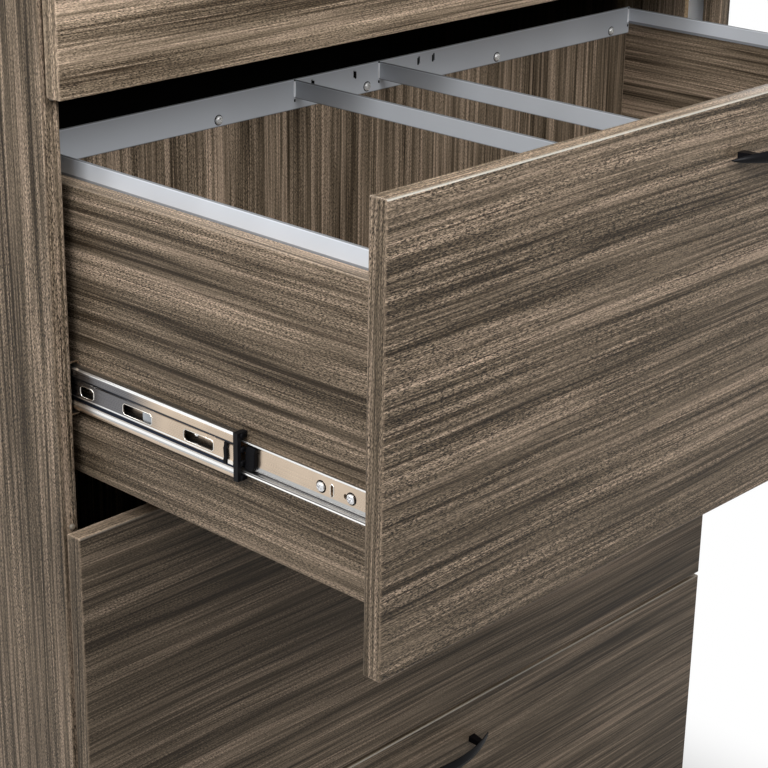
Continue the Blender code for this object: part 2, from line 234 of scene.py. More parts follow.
class Net:
    """A node tree under construction."""

    def __init__(self, tree):
        self.tree = tree

    def fill(self, socket, value):
        """Links a socket, or sets it. None leaves it alone."""
        if isinstance(value, Socket):
            self.tree.links.new(value.socket, socket)
        elif value is not None:
            socket.default_value = value

    def node(self, kind, settings, *values, out=0, **named):
        """Makes a node: its settings first, then its sockets by place or, spaces as underscores, by name."""
        made = self.tree.nodes.new(kind)
        for key, value in settings.items():
            setattr(made, key, value)
        for place, value in enumerate(values):
            self.fill(made.inputs[place], value)
        for key, value in named.items():
            self.fill(made.inputs[key.replace("_", " ")], value)
        return Socket(self, made.outputs[out])

    def split(self, vector):
        """X, Y and Z of a vector."""
        made = self.tree.nodes.new("ShaderNodeSeparateXYZ")
        self.tree.links.new(vector.socket, made.inputs[0])
        return [Socket(self, made.outputs[i]) for i in range(3)]

    def join(self, x, y, z):
        return self.node("ShaderNodeCombineXYZ", {}, x, y, z)


class Shape(Net):
    """A geometry tree with named inputs, evaluated once into a plain mesh."""

    KINDS = {float: "NodeSocketFloat", int: "NodeSocketInt", tuple: "NodeSocketVector"}

    def __init__(self, name, points=(), **inputs):
        super().__init__(bpy.data.node_groups.new(name, "GeometryNodeTree"))
        self.name = name
        self.values = inputs
        self.points = points
        self.tree.interface.new_socket(name="spots", in_out="INPUT", socket_type="NodeSocketGeometry")
        for key, value in inputs.items():
            kind = self.KINDS.get(type(value), "NodeSocketMaterial")
            self.tree.interface.new_socket(name=key, in_out="INPUT", socket_type=kind)
        self.tree.interface.new_socket(name="Geometry", in_out="OUTPUT", socket_type="NodeSocketGeometry")
        self.group = self.tree.nodes.new("NodeGroupInput")

    def __getattr__(self, key):
        """A named input of the tree."""
        return Socket(self, self.group.outputs[key])

    def move(self, geometry, position):
        """Puts every point at a computed position."""
        return self.node("GeometryNodeSetPosition", {}, geometry, Position=position)

    def place(self):
        """Position of the points."""
        return self.node("GeometryNodeInputPosition", {})

    def transform(self, geometry, shift=(0, 0, 0), turn=(0, 0, 0)):
        return self.node("GeometryNodeTransform", {}, geometry, Translation=shift, Rotation=turn)

    def stud(self, width, height, depth, inset, rise, corner=1.0, sides=28):
        """Solid standing on Z 0 whose upper edge is rounded by inset and rise.

        Corner 1 is round, 0.2 nearly square."""
        levels = 7
        rod = self.node("GeometryNodeMeshCylinder", {}, sides, levels, 1, 1.0, 2.0)
        cos, sin, run = self.split(self.place())
        level = (run + 1.0) * (levels / 2)
        arc = ((level - 1.0) / (levels - 1.0)).more(0.0) * (math.pi / 2)
        shrink = (1.0 - (arc + math.pi / 2).sine()) * inset
        z = level.less(1.0) * (depth - rise) + arc.sine() * rise
        x = cos.sign() * cos.size().power(corner) * (width / 2 - shrink)
        y = sin.sign() * sin.size().power(corner) * (height / 2 - shrink)
        return self.move(rod, self.join(x, y, z))

    def cut(self, solid, *tools):
        made = self.tree.nodes.new("GeometryNodeMeshBoolean")
        made.operation = "DIFFERENCE"
        made.solver = "EXACT"
        self.tree.links.new(solid.socket, made.inputs["Mesh 1"])
        for tool in tools:
            self.tree.links.new(tool.socket, made.inputs["Mesh 2"])
        return Socket(self, made.outputs["Mesh"])

    def block(self, size, shift=(0, 0, 0)):
        return self.transform(self.node("GeometryNodeMeshCube", {}, size), shift)

    def rim(self, length, height, corner, shift=(0, 0, 0)):
        """Pressed rim round an opening, in the plane across X."""
        outline = self.node("GeometryNodeCurvePrimitiveQuadrilateral", {"mode": "RECTANGLE"},
                            height + 2 * RIM_OUT, length + 2 * RIM_OUT)
        rounded = self.node("GeometryNodeFilletCurve", {}, Curve=outline, Radius=corner)
        bead = self.node("GeometryNodeCurvePrimitiveCircle", {}, Resolution=8, Radius=RIM_BEAD)
        swept = self.node("GeometryNodeCurveToMesh", {}, Curve=rounded, Profile_Curve=bead)
        return self.transform(swept, shift, (0, math.pi / 2, 0))

    def repeated(self, piece, turn=(0, 0, 0), seed=0):
        """The piece on every spot, turned to face the way it should.

        With a seed, each is spun by a random angle."""
        placed = self.node("GeometryNodeInstanceOnPoints", {}, Points=self.spots, Instance=piece,
                           Rotation=turn)
        if not seed:
            return placed
        # The random node takes its number range third and fourth and its seed ninth
        spin = self.node("FunctionNodeRandomValue", {"data_type": "FLOAT"}, None, None, 0.0, 2 * math.pi,
                         None, None, None, None, seed, out=1)
        return self.node("GeometryNodeRotateInstances", {}, placed, Rotation=self.join(0.0, 0.0, spin))

    def joined(self, *pieces):
        made = self.tree.nodes.new("GeometryNodeJoinGeometry")
        for piece in pieces:
            self.tree.links.new(piece.socket, made.inputs[0])
        return Socket(self, made.outputs[0])

    def build(self, geometry):
        """Evaluates the tree and returns its mesh as a plain object at the origin."""
        solid = self.node("GeometryNodeRealizeInstances", {}, geometry)
        painted = self.node("GeometryNodeSetMaterial", {}, solid, Material=self.material)
        output = self.tree.nodes.new("NodeGroupOutput")
        self.tree.links.new(painted.socket, output.inputs[0])
        spots = bpy.data.meshes.new(f"{self.name}_spots")
        spots.from_pydata(self.points, [], [])
        holder = bpy.data.objects.new(f"{self.name}_spots", spots)
        bpy.context.scene.collection.objects.link(holder)
        modifier = holder.modifiers.new(self.name, "NODES")
        modifier.node_group = self.tree
        for item in self.tree.interface.items_tree:
            if item.item_type == "SOCKET" and item.in_out == "INPUT" and item.name in self.values:
                modifier[item.identifier] = self.values[item.name]
        evaluated = holder.evaluated_get(bpy.context.evaluated_depsgraph_get())
        mesh = bpy.data.meshes.new_from_object(evaluated)
        bpy.data.objects.remove(holder)
        if not mesh.polygons:
            raise RuntimeError(f"{self.name} came out empty")
        mesh.name = self.name
        piece = bpy.data.objects.new(self.name, mesh)
        bpy.context.scene.collection.objects.link(piece)
        return piece


class Shader(Net):
    """A material's node tree."""

    def __init__(self, name):
        self.material = bpy.data.materials.get(name) or bpy.data.materials.new(name)
        self.material.use_nodes = True
        super().__init__(self.material.node_tree)
        self.tree.nodes.clear()
        self.output = self.tree.nodes.new("ShaderNodeOutputMaterial")

    def place(self):
        """Object coordinates."""
        return self.node("ShaderNodeTexCoord", {}, out="Object")

    def normal(self):
        return self.node("ShaderNodeNewGeometry", {}, out="Normal")

    def noise(self, vector, detail=2.0, roughness=0.5, scale=1.0):
        """Noise value round 0.5."""
        return self.node("ShaderNodeTexNoise", {"normalize": True}, Vector=vector, Scale=scale,
                         Detail=detail, Roughness=roughness)

    def mixed(self, kind, first_socket, out, factor, first, second):
        made = self.tree.nodes.new("ShaderNodeMix")
        made.data_type = kind
        for index, value in ((0, factor), (first_socket, first), (first_socket + 1, second)):
            self.fill(made.inputs[index], value)
        return Socket(self, made.outputs[out])

    def mix(self, factor, first, second):
        """Mixed colour."""
        return self.mixed("RGBA", 6, 2, factor, first, second)

    def mix_vector(self, factor, first, second):
        return self.mixed("VECTOR", 4, 1, factor, first, second)

    def scaled(self, vector, amount):
        """A colour or vector times a number."""
        return self.node("ShaderNodeVectorMath", {"operation": "SCALE"}, vector, Scale=amount)

    def bump(self, height, strength, distance):
        return self.node("ShaderNodeBump", {}, Strength=strength, Distance=distance, Height=height)

    def principled(self, **values):
        """The main shader, linked to the output."""
        shader = self.node("ShaderNodeBsdfPrincipled", {}, **values)
        self.tree.links.new(shader.socket, self.output.inputs["Surface"])
        return self.material


def colour(values, share=1.0):
    """Settings colour as RGBA, lightened or darkened."""
    return (*[c * share for c in values], 1.0)


def assign(obj, material):
    """Gives the whole object one material."""
    obj.data.materials.clear()
    obj.data.materials.append(material)


# Laminate

FLAT = 0.72                     # a face lies across an axis where its normal has more than this share of it
SHEET_STEP = (1.7, 0.61, 0.37)  # metres along, across and through the grain between sheets
STREAK_W = 3.4 * MM
LINE_W = 1.25 * MM
FINE_LINE_W = 0.85 * MM
PALE_LINE_W = 1.9 * MM
LONG_STREAK_W = 5 * MM
PATCH_W = 15 * MM
PORE = (2.3 * MM, 0.62 * MM)    # length and width of the pressed pores
PORE_CONTRAST = 5.1
PRESSED_DEPTH = 0.25 * MM
# colour of the painted highlight along the upper front edges
TOP_EDGE_HIGHLIGHT = (0.80, 0.79, 0.72, 1)
SHADE_BLACKS = ((0.006, 0.006, 0.006, 1), (0.013, 0.012, 0.011, 1))
RAW_CHIPS = ((0.20, 0.13, 0.07, 1), (0.46, 0.34, 0.21, 1))
INSIDE_SHADE = (0.006, 0.005, 0.004, 1)
GRAIN_TURNS = {
    # the grain's direction, then which of X, Y, Z runs along, across and through it
    "X": (0, 2, 1),
    "Y": (1, 2, 0),
    "Z": (2, 0, 1),
    "Zy": (2, 1, 0),
    "Xy": (0, 1, 2),
    "Yx": (1, 0, 2),
}


def laminate(name, faces, sheet, settings, tone=0.82, pores=1.0, lines_share=1.0, edge_glint=0.58, bare_and_shade=None):
    """Laminate whose grain runs as faces says: grain for faces across X, across Y and across Z.

    tone lightens or darkens the print, pores and lines_share set how strong they are, and roll sets the
    painted highlight along the upper edge. bare gives, from place and normal, a mask and a colour laid over
    the print: raw board where it isn't laminated, and painted shade."""
    sh = Shader(name)
    xyz = sh.split(sh.place())
    out = sh.split(sh.normal())
    towards = [part.size() for part in out]

    def turned(grain, number):
        return sh.join(*(xyz[axis] + number * step for axis, step in zip(GRAIN_TURNS[grain], SHEET_STEP)))

    lie_x, lie_y, lie_z = faces
    grain = sh.mix_vector(towards[0] > FLAT, turned(lie_y, sheet), turned(lie_x, sheet + 3.1))
    grain = sh.mix_vector(towards[2] > FLAT, grain, turned(lie_z, sheet + 5.3))
    u, v, w = sh.split(grain)

    # The grain wanders a little across its run
    sway = sh.noise(sh.join(u * 1.7, v * 2.2, w * 3.0 + 11.0), 1.0) - 0.5
    ripple = sh.noise(sh.join(u * 8.0, v * 20.0, w * 9.0), 1.0) - 0.5
    across = v + sway * 0.022 + ripple * 0.0014

    def layer(length, width, shift, detail=1.0):
        """Streaks of about that length and width, in metres, round 0."""
        return sh.noise(sh.join(u / length, across / width, w / (width * 6.0) + shift), detail, 0.6) - 0.5

    broad = layer(0.80, settings.band, 0.0)
    bands = layer(0.45, settings.band * 0.27, 4.0, 2.0)
    streaks = layer(0.30, STREAK_W, 8.0)
    lines = layer(0.24, LINE_W, 12.0)
    fine_lines = layer(0.07, FINE_LINE_W, 13.0)
    pale_lines = layer(0.20, PALE_LINE_W, 14.0)
    patches = layer(0.18, PATCH_W, 20.0).between(-0.20, 0.12, 0.5, 1.0)
    long_streak = layer(0.34, LONG_STREAK_W, 24.0).between(0.17, 0.26)
    # The pores lie askew to the grain, and are pressed shallower to the right
    pore = sh.noise(sh.join((u + across * 0.8) / PORE[0], across / PORE[1], w * 300.0), 1.0, 0.6) - 0.5
    pore = pore * xyz[0].between(-0.45, 0.35, 1.25, 0.60)
    pressed = pore * patches

    figure = (broad * 0.58 + bands * 1.10 + streaks * (0.90 * lines_share) + lines * (0.75 * lines_share)
              + fine_lines * 0.75)
    base = sh.mix(figure.between(-0.46, 0.10), colour(settings.dark, tone), colour(settings.middle, tone))
    base = sh.mix(figure.between(-0.06, 0.44), base, colour(settings.light, tone))
    base = sh.mix(pale_lines.between(0.10, 0.26) * 0.45, base, colour(settings.light, tone))
    thin = lines.between(0.07, 0.18) * patches * 0.86
    base = sh.mix(thin, base, colour(settings.dark, tone * 1.1))
    base = sh.mix(long_streak * 0.75, base, colour(settings.dark, tone * 1.4))
    base = sh.scaled(base, (pressed * (PORE_CONTRAST * pores) + 1.08).more(0.12).less(2.6))

    # Painted highlight: the rounded edges between faces are made paler
    rounded = towards[0].more(towards[1]).more(towards[2]).between(0.97, 0.80)
    base = sh.mix(rounded * 0.62, base, colour(settings.light, tone * 1.6))
    # Painted light: faces turned upwards are lightened, and a painted highlight runs along the rounded upper
    # front edge
    base = sh.scaled(base, out[2].between(0.75, 0.95) * 0.55 + 1.0)
    top_edge_highlight = out[2].between(0.12, 0.40) * out[2].between(0.98, 0.85) * towards[0].between(0.5, 0.2)
    base = sh.mix(top_edge_highlight * edge_glint, base, TOP_EDGE_HIGHLIGHT)
    if bare_and_shade:
        mask, raw = bare_and_shade(sh, xyz, out)
        base = sh.mix(mask, base, raw)

    return sh.principled(
        Base_Color=base,
        Roughness=(lines + pore) * 0.25 + settings.sheen,
        Specular_IOR_Level=0.12,
        Normal=sh.bump(pressed * 1.6 - thin * 0.4, 0.25, PRESSED_DEPTH))


def painted_shade_backer(sh, place, out):
    """The back board's inner face is painted black as shade, the deep shadow inside the cabinet."""
    fleck = sh.noise(sh.place(), 2.0, 0.6, scale=700.0)
    return out[1] < -0.5, sh.mix(fleck.between(0.3, 0.7), *SHADE_BLACKS)


def raw_groove_and_shade(sh, place, out):
    """The routed groove's walls are raw particle board, and the panel's far inside is painted dark as shade.
    """
    low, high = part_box("interlock_bar")
    middle, half = (low.y + high.y) / 2, (high.y - low.y) / 2 + 1.2 * MM
    chip = sh.noise(sh.place(), 3.0, 0.7, scale=420.0)
    wall = ((place[1] - middle).size() < half) * (out[1].size() > FLAT)
    # Painted shade: the inner face beyond the drawer's back is darkened
    inside_shade = place[1].between(50 * MM, 90 * MM) * (out[0] < -FLAT)
    raw = sh.mix(chip.between(0.3, 0.7), *RAW_CHIPS)
    return wall.more(inside_shade * 0.9), sh.mix(inside_shade, raw, INSIDE_SHADE)


# Where a board isn't of the usual sheet; tone also lightens or darkens boards in part as painted light and
# shade, and roll sets the painted highlight on their upper edge
BOARD_LOOKS = {
    "drawer_1_front": {"tone": 1.33, "pores": 0.75, "lines_share": 0.85},
    "drawer_2_front": {"tone": 0.80, "pores": 1.05},
    "drawer_3_front": {"pores": 0.75, "edge_glint": 0.12},
    "drawer_4_front": {"tone": 0.81, "pores": 0.5, "edge_glint": 0.4},
    "drawer_2_left_side": {"tone": 0.88, "lines_share": 0.85},
    "drawer_2_right_side": {"tone": 1.0},
    "drawer_2_back": {"tone": 1.05},
    "left_side_panel": {"tone": 0.84, "pores": 1.05, "lines_share": 1.5},
    "right_side_panel": {"bare_and_shade": raw_groove_and_shade},
    "back_panel": {"bare_and_shade": painted_shade_backer},
}
SHEETS = {"drawer_1_front": 7.1}        # the boards not cut from the sheet that their place in the list gives


class CABINET_OT_laminate(bpy.types.Operator):
    """Gives every board wood-grain laminate, its edge bands with their own run of grain"""
    bl_idname = "cabinet.laminate"
    bl_label = "Laminate boards"

    def execute(self, context):
        settings = context.scene.cabinet_laminate
        upright = ("Zy", "Z", "Xy")
        level = ("Zy", "X", "Xy")
        deep = ("Y", "Z", "Yx")
        flat = ("Y", "X", "Xy")
        boards = {"left_side_panel": upright, "right_side_panel": upright, "back_panel": upright,
                  "top_panel": flat, "bottom_panel": flat, "plinth_board": level}
        for number in DRAWERS:
            boards[f"drawer_{number}_front"] = level
            if number == OPEN_DRAWER:
                boards.update({f"drawer_{number}_left_side": deep, f"drawer_{number}_right_side": deep,
                               f"drawer_{number}_back": upright, f"drawer_{number}_bottom": flat})
            else:
                boards[f"drawer_{number}_box"] = deep
        for place, (node, faces) in enumerate(sorted(boards.items())):
            sheet = SHEETS.get(node, 0.37 + place * 1.93)
            looks = BOARD_LOOKS.get(node, {})
            assign(NODES[node], laminate(f"laminate_{node}", faces, sheet, settings, **looks))
        return {"FINISHED"}


# Metal and plastic

# Finishes of the small fittings
FINISHES = {
    # black plastic of latch strips, stops and cap lobes; the same black also paints shade in screw seats and
    # open slots
    "black_plastic": {"base": (0.005, 0.005, 0.006), "roughness": 0.40, "shine": 0.05},
    "bumper_clear": {"base": (0.22, 0.19, 0.15), "roughness": 0.30, "depth": 0.03},
    # Painted light: the folded tabs are painted paler than the frame, as they face the light
    "tab_paint": {"base": (0.86, 0.88, 0.90), "roughness": 0.30},
    "screw_steel": {"base": (0.70, 0.70, 0.71), "roughness": 0.13, "metallic": 1.0, "depth": 0.03},
    # Painted light: a paler, less metallic copy of the screw steel keeps the rail screws bright where they
    # face the dark drawer
    "bright_steel": {"base": (0.78, 0.78, 0.77), "roughness": 0.24, "metallic": 0.35, "depth": 0.03},
    "window_rim": {"base": (0.80, 0.76, 0.70), "roughness": 0.20, "metallic": 1.0, "depth": 0.03},
    "cage_steel": {"base": (0.36, 0.38, 0.40), "roughness": 0.30, "metallic": 1.0, "depth": 0.03},
}
CAP_BLACK = (0.007, 0.007, 0.008)
# colour of the painted dark reflection on the rear of the middle members' webs
REAR_DARK_REFLECTION = (0.085, 0.10, 0.125, 1)
FINE_BUMP = 0.1 * MM
SIDE_BAR_LIT = 1.22           # painted light: the side bars and the groove's bar are made paler than the rails
GROOVE_BAR_LIT = 1.6


def plain(name, base, roughness, metallic=0.0, shine=0.5, depth=0.10):
    """Moulded or coated finish with a fine grain."""
    sh = Shader(name)
    fine = sh.noise(sh.place(), 2.0, 0.5, scale=900.0)
    broad = sh.noise(sh.place(), 2.0, 0.5, scale=40.0)
    tint = sh.mix(broad.between(0.3, 0.7), colour(base, 0.9), colour(base, 1.15))
    return sh.principled(Base_Color=tint, Metallic=metallic, Roughness=roughness + fine * 0.06,
                         Specular_IOR_Level=shine, Normal=sh.bump(fine, depth, FINE_BUMP))


def frame_paint(name, settings, share=1.0, edges=None):
    """Smooth cool grey paint with a faint orange peel and cloudy tone; given edges, a painted highlight and
    painted shade lines along them.
    """
    sh = Shader(name)
    position = sh.place()
    cloud = sh.noise(position, 2.0, 0.5, scale=9.0)
    peel = sh.noise(position, 1.0, 0.5, scale=1400.0)
    base = sh.mix(cloud.between(0.3, 0.7), colour(settings.paint, share * 0.94),
                  colour(settings.paint, share * 1.05))
    if edges:
        # A painted highlight runs just below the strip's top edge, and painted shade darkens thin lines along
        # its top and bottom edges
        z = sh.split(position)[2]
        low, high = edges
        strip_highlight = z.between(high - 2.0 * MM, high - 1.2 * MM)
        strip_edge_shade = z.between(high - 0.8 * MM, high - 0.5 * MM) + z.between(low + 0.7 * MM, low + 0.4 * MM)
        base = sh.mix(strip_highlight * 0.5, base, colour(settings.paint, share * 1.45))
        base = sh.mix(strip_edge_shade * 0.72, base, colour(settings.paint, share * 0.16))
    return sh.principled(Base_Color=base, Metallic=0.15, Roughness=0.36 + cloud * 0.10,
                         Normal=sh.bump(peel, 0.08, FINE_BUMP))


# Painted highlights and shade across a slide member, top to bottom, in mm from its middle line: low, high,
# which painted tone
MEMBER_LIGHT_AND_SHADE = {
    "middle": ((16.5, 21.0, "polish"), (8.6, 10.8, "grease"), (-7.0, -6.0, "polish"),
               (-9.6, -7.4, "grease"), (-14.2, -9.8, "bead_half_highlight"), (-12.8, -10.6, "polish"),
               (-22.0, -19.8, "grease")),
    "inner": ((10.6, 13.4, "polish"), (9.2, 10.0, "grease"), (-9.8, -6.0, "bead_half_highlight"),
              (-10.7, -9.8, "grease"), (-11.6, -10.7, "bead_half_highlight"), (-12.2, -11.6, "grease"),
              (-13.4, -12.2, "polish")),
    "outer": (),
}
TONE_FADE = 0.3                 # mm over which one tone passes into the next
FLANGE_LIGHT_SHARES = {"middle": 0.22}        # painted light: how pale the upward faces are made; 0.5 on the other members


def zinc_plate(settings, name, member, middle, start):
    """Plated strip, drawn along the slide, its beads lit with painted highlights and its folds darkened with
    painted shade.
    """
    sh = Shader(name)
    x, y, z = sh.split(sh.place())
    drawn = sh.noise(sh.join(x * 900.0, y * 9.0, z * 900.0), 2.0, 0.6)
    cloud = sh.noise(sh.place(), 2.0, 0.5, scale=26.0)
    painted_tones = {"polish": colour(settings.polish), "grease": colour(settings.grease),
                "bead_half_highlight": colour(settings.polish, 0.50)}
    base = sh.mix(cloud.between(0.3, 0.7), colour(settings.zinc, 0.92), colour(settings.zinc, 1.05))
    up = z - middle
    if member == "middle":
        # Towards the rear a painted dark reflection darkens the set-back web
        rear_reflection = y.between(start + 75 * MM, start + 125 * MM) * up.between(-9.4 * MM, -8.6 * MM)
        base = sh.mix(rear_reflection * 0.85, base, REAR_DARK_REFLECTION)
    # Bands of painted highlight on the beads and painted shade in the folds
    for low, high, finish in MEMBER_LIGHT_AND_SHADE[member]:
        stripe = (up.between((low - TONE_FADE) * MM, (low + TONE_FADE) * MM)
                  * up.between((high + TONE_FADE) * MM, (high - TONE_FADE) * MM))
        base = sh.mix(stripe, base, painted_tones[finish])
    # Painted light: faces turned upwards are made paler
    upward_sheen = sh.split(sh.normal())[2].between(0.75, 0.92)
    base = sh.mix(upward_sheen * 0.8, base, colour(settings.polish, FLANGE_LIGHT_SHARES.get(member, 0.5)))
    return sh.principled(Base_Color=base, Metallic=1.0, Roughness=0.20 + drawn * 0.10 + cloud * 0.06,
                         Normal=sh.bump(drawn, 0.05, FINE_BUMP))


class CABINET_OT_metal(bpy.types.Operator):
    """Paints the file frames and plates the slides"""
    bl_idname = "cabinet.metal"
    bl_label = "Metal finishes"

    def execute(self, context):
        settings = context.scene.cabinet_metal
        by_slot = {
            "frame_steel": frame_paint("frame_paint", settings),
            "slide_cap": plain("cap_plastic", CAP_BLACK, 0.42, shine=0.08),
            "handle_black": plain("handle_black", context.scene.cabinet_handles.colour, 0.30, shine=0.12)}
        for part in frame["record"]["subparts"]:
            node, slot = part["node"], part["material_slot"]
            low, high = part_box(node)
            if node == "interlock_bar":
                material = frame_paint("bar_paint", settings, GROOVE_BAR_LIT)
            elif node.endswith(("left_bar", "right_bar")):
                # Its foot is hidden by the board it stands behind
                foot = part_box(f"drawer_{OPEN_DRAWER}_left_side")[1].z + 0.7 * MM
                material = frame_paint(f"paint_{node}", settings, SIDE_BAR_LIT, (foot, high.z))
            elif node.endswith(("_rail", "_bar")):
                material = frame_paint(f"paint_{node}", settings, 1.0, (low.z, high.z))
            elif slot == "slide_zinc":
                member = node.rsplit("_", 1)[1]
                material = zinc_plate(settings, f"zinc_{node}", member, (low.z + high.z) / 2, low.y)
            elif slot in by_slot:
                material = by_slot[slot]
            else:
                continue
            assign(NODES[node], material)
        return {"FINISHED"}


# Handles

HANDLE_DOWN = 45 * MM           # below the front's top edge
HANDLE_L = 137 * MM
HANDLE_FEET = 96 * MM
BOW_OUT = 24 * MM
TIP_OUT = 5.4 * MM
GRIP_H = 13 * MM
GRIP_T = 6.4 * MM
TIP_D = 3 * MM
FOOT_W = 9 * MM                 # at the front board
FOOT_NARROWS = 3 * MM
FOOT_LEANS = 2 * MM
FOOT_H = 6 * MM


def bow_handle(name, face, middle, edge, material):
    """A pointed bow on two wedge feet: it swells and stands out as 1 - t * t from tip to tip."""
    shape = Shape(name, length=HANDLE_L, bow=BOW_OUT, tip=TIP_OUT, height=GRIP_H, thickness=GRIP_T,
                  point=TIP_D, edge=edge, face=face, middle=middle, feet=HANDLE_FEET, material=material)

    def edged(value):
        return value.sign() * value.size().power(shape.edge)

    rod = shape.node("GeometryNodeMeshCylinder", {}, 40, 120, 1, 1.0, 2.0)
    cos, sin, run = shape.split(shape.place())
    t = (run * (math.pi / 2)).sine()
    swell = 1.0 - t * t
    taper = (1.0 - t.size().power(16.0)).more(0.01).root() * 0.5
    out = shape.tip + (shape.bow - shape.tip) * swell
    deep = (shape.point + (shape.thickness - shape.point) * swell) * taper
    tall = (shape.point + (shape.height - shape.point) * swell) * taper
    grip = shape.move(rod, shape.join(t * shape.length * 0.5, shape.face - out + deep * edged(cos),
                                      shape.middle + tall * edged(sin)))

    block = shape.node("GeometryNodeMeshCube", {}, (1, 1, 1), 2, 2, 2)
    x, y, z = shape.split(shape.place())
    inner = 0.5 - y
    t_foot = shape.feet / shape.length
    depth = shape.tip + (shape.bow - shape.tip) * (1.0 - t_foot * t_foot)
    wedge = shape.move(block, shape.join(x * (FOOT_W - inner * FOOT_NARROWS) - inner * FOOT_LEANS,
                                         inner * depth * -1.0, z * FOOT_H))
    right = shape.transform(wedge, shape.join(shape.feet * 0.5, shape.face, shape.middle))
    left = shape.transform(wedge, shape.join(shape.feet * -0.5, shape.face, shape.middle), (0, math.pi, 0))
    smooth = shape.node("GeometryNodeSetShadeSmooth", {}, grip)
    return shape.build(shape.joined(smooth, left, right))


class CABINET_OT_handles(bpy.types.Operator):
    """Puts a smooth bow handle on every drawer front"""
    bl_idname = "cabinet.handles"
    bl_label = "Bow handles"

    def execute(self, context):
        settings = context.scene.cabinet_handles
        finish = plain("handle_satin", settings.colour, 0.20, shine=0.06)
        for number in DRAWERS:
            low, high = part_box(f"drawer_{number}_front")
            piece = bow_handle(f"drawer_{number}_bow", low.y, high.z - HANDLE_DOWN, settings.edge, finish)
            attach(piece, f"drawer_{number}")
            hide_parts(f"drawer_{number}_handle")
        return {"FINISHED"}


# Small fittings

SIDES = {"left": -1, "right": 1}
FACING = {"front": (math.pi / 2, 0, 0), "back": (-math.pi / 2, 0, 0),
          "left": (0, -math.pi / 2, 0), "right": (0, math.pi / 2, 0)}
RAIL_SCREWS = (-375 * MM, -187.5 * MM, 0.0, 187.5 * MM, 375 * MM)
RAIL_SCREW_DOWN = 76 * MM       # below the front's top edge
FOOT_SCREW_DOWN = 90 * MM
RAIL_SHEET = 1.5 * MM
RAIL_FOOT = 1.8 * MM            # front rail's clearance and sheet, behind the front board
MEMBER_SCREWS = (35 * MM, 65 * MM, 226 * MM, 418 * MM)   # behind the inner member's front end
PANEL_SCREWS = (34 * MM, 66 * MM, 226 * MM, 386 * MM)    # behind the outer member's front end
HEAD_T = 2.2 * MM               # pan heads; the next two are lower
FRONT_HEAD_T = 2.0 * MM
PANEL_HEAD_T = 1.0 * MM
RIVET = (198 * MM, 6 * MM, 1.2 * MM)    # place behind the inner member's front end, diameter, height
SEAT_T = 0.5 * MM
RAIL_SEAT = 1.6 * MM            # by how much a seat, a black disc of painted shade, is wider than its screw head
MEMBER_SEAT = 1.8 * MM
RECESS = (0.62, 0.15, 2.6 * MM)         # cross recess: length and width in head diameters, depth
MEMBER_WEB = 1.2 * MM           # sheet of the slides
MEMBER_SLOT = (54 * MM, 2.9 * MM, 9.7 * MM, 1.7 * MM)    # place, width, height, corner
WINDOWS = ((40.5 * MM, 33 * MM), (111 * MM, 34 * MM), (172 * MM, 16 * MM))   # place behind the end, length
WINDOW_H = 8.5 * MM
WINDOW_CORNER = 2 * MM
RIM_OUT = 0.3 * MM              # rim's middle line outside the opening
RIM_BEAD = 0.42 * MM
NOTCH = (0.8 * MM, 6 * MM, 4.2 * MM)
WEB_SET = 1.8 * MM              # middle member's set-back web behind its outer face
LATCH_AT = 9.5 * MM             # behind the middle member's front end
CAGE_AT = 86 * MM
CAGE_SET = 2.2 * MM
CAP_FRONT = 4.9 * MM            # end cap's face before the middle member
CAP_MIDDLE = 4.4 * MM
LOBES_UP = (16.9 * MM, 5.6 * MM, -5.2 * MM, -16.9 * MM)
STOP_AT = 135.4 * MM            # stop's middle behind the inner member's front end
STOP_SET = 8 * MM
BUMPER_DOWN = 351 * MM
BUMPER_IN = 1.6 * MM
FOLDERS = (312 * MM, 333 * MM, 388 * MM)    # rail to rail for letter, A4 and legal folders
# Lumps: width, height, depth, inset and rise of the rounded edge in mm, corner, sides, finish, slot
LUMPS = {
    "bar_tabs": ((1.9, 14.6, 0.9, 0.4, 0.4), 0.3, 24, "tab_paint", "frame_steel"),
    # open slots are black lumps of painted shade
    "spare_slots": ((2.3, 6.9, 1.25, 0.1, 0.1), 0.3, 16, "black_plastic", "frame_steel"),
    "slot_ends": ((1.7, 2.6, 0.35, 0.1, 0.1), 0.3, 16, "black_plastic", "frame_steel"),
    "latch_strip": ((17.4, 3.6, 1.7, 0.4, 0.4), 0.3, 96, "black_plastic", "slide_cap"),
    "cap_lobes": ((5.4, 4.6, 1.9, 1.2, 1.7), 0.8, 24, "black_plastic", "slide_cap"),
    "ball_cage": ((14.0, 41.0, 0.7, 0.3, 0.3), 0.2, 48, "cage_steel", "slide_zinc"),
    "stop": ((19.5, 9.6, 3.6, 0.8, 0.8), 0.25, 64, "black_plastic", "slide_cap"),
    "bumpers": ((5.4, 5.4, 2.4, 1.8, 1.6), 1.0, 28, "bumper_clear", "laminate"),
}
# Wavy edges: radians of wave per metre, depth of the wave, and how far the lump leans
WAVES = {"latch_strip": (700.0, 0.6 * MM, 0.0), "stop": (420.0, 0.7 * MM, 0.12)}


def on_members(number, member, distances):
    """Spots along a drawer's left and right slide member, at those distances behind its front end."""
    for side, away in SIDES.items():
        low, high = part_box(f"drawer_{number}_{side}_slide_{member}")
        yield side, away, low, high, [(0.0, low.y + at, (low.z + high.z) / 2) for at in distances]


def at_x(spots, x):
    return [(x, y, z) for _, y, z in spots]


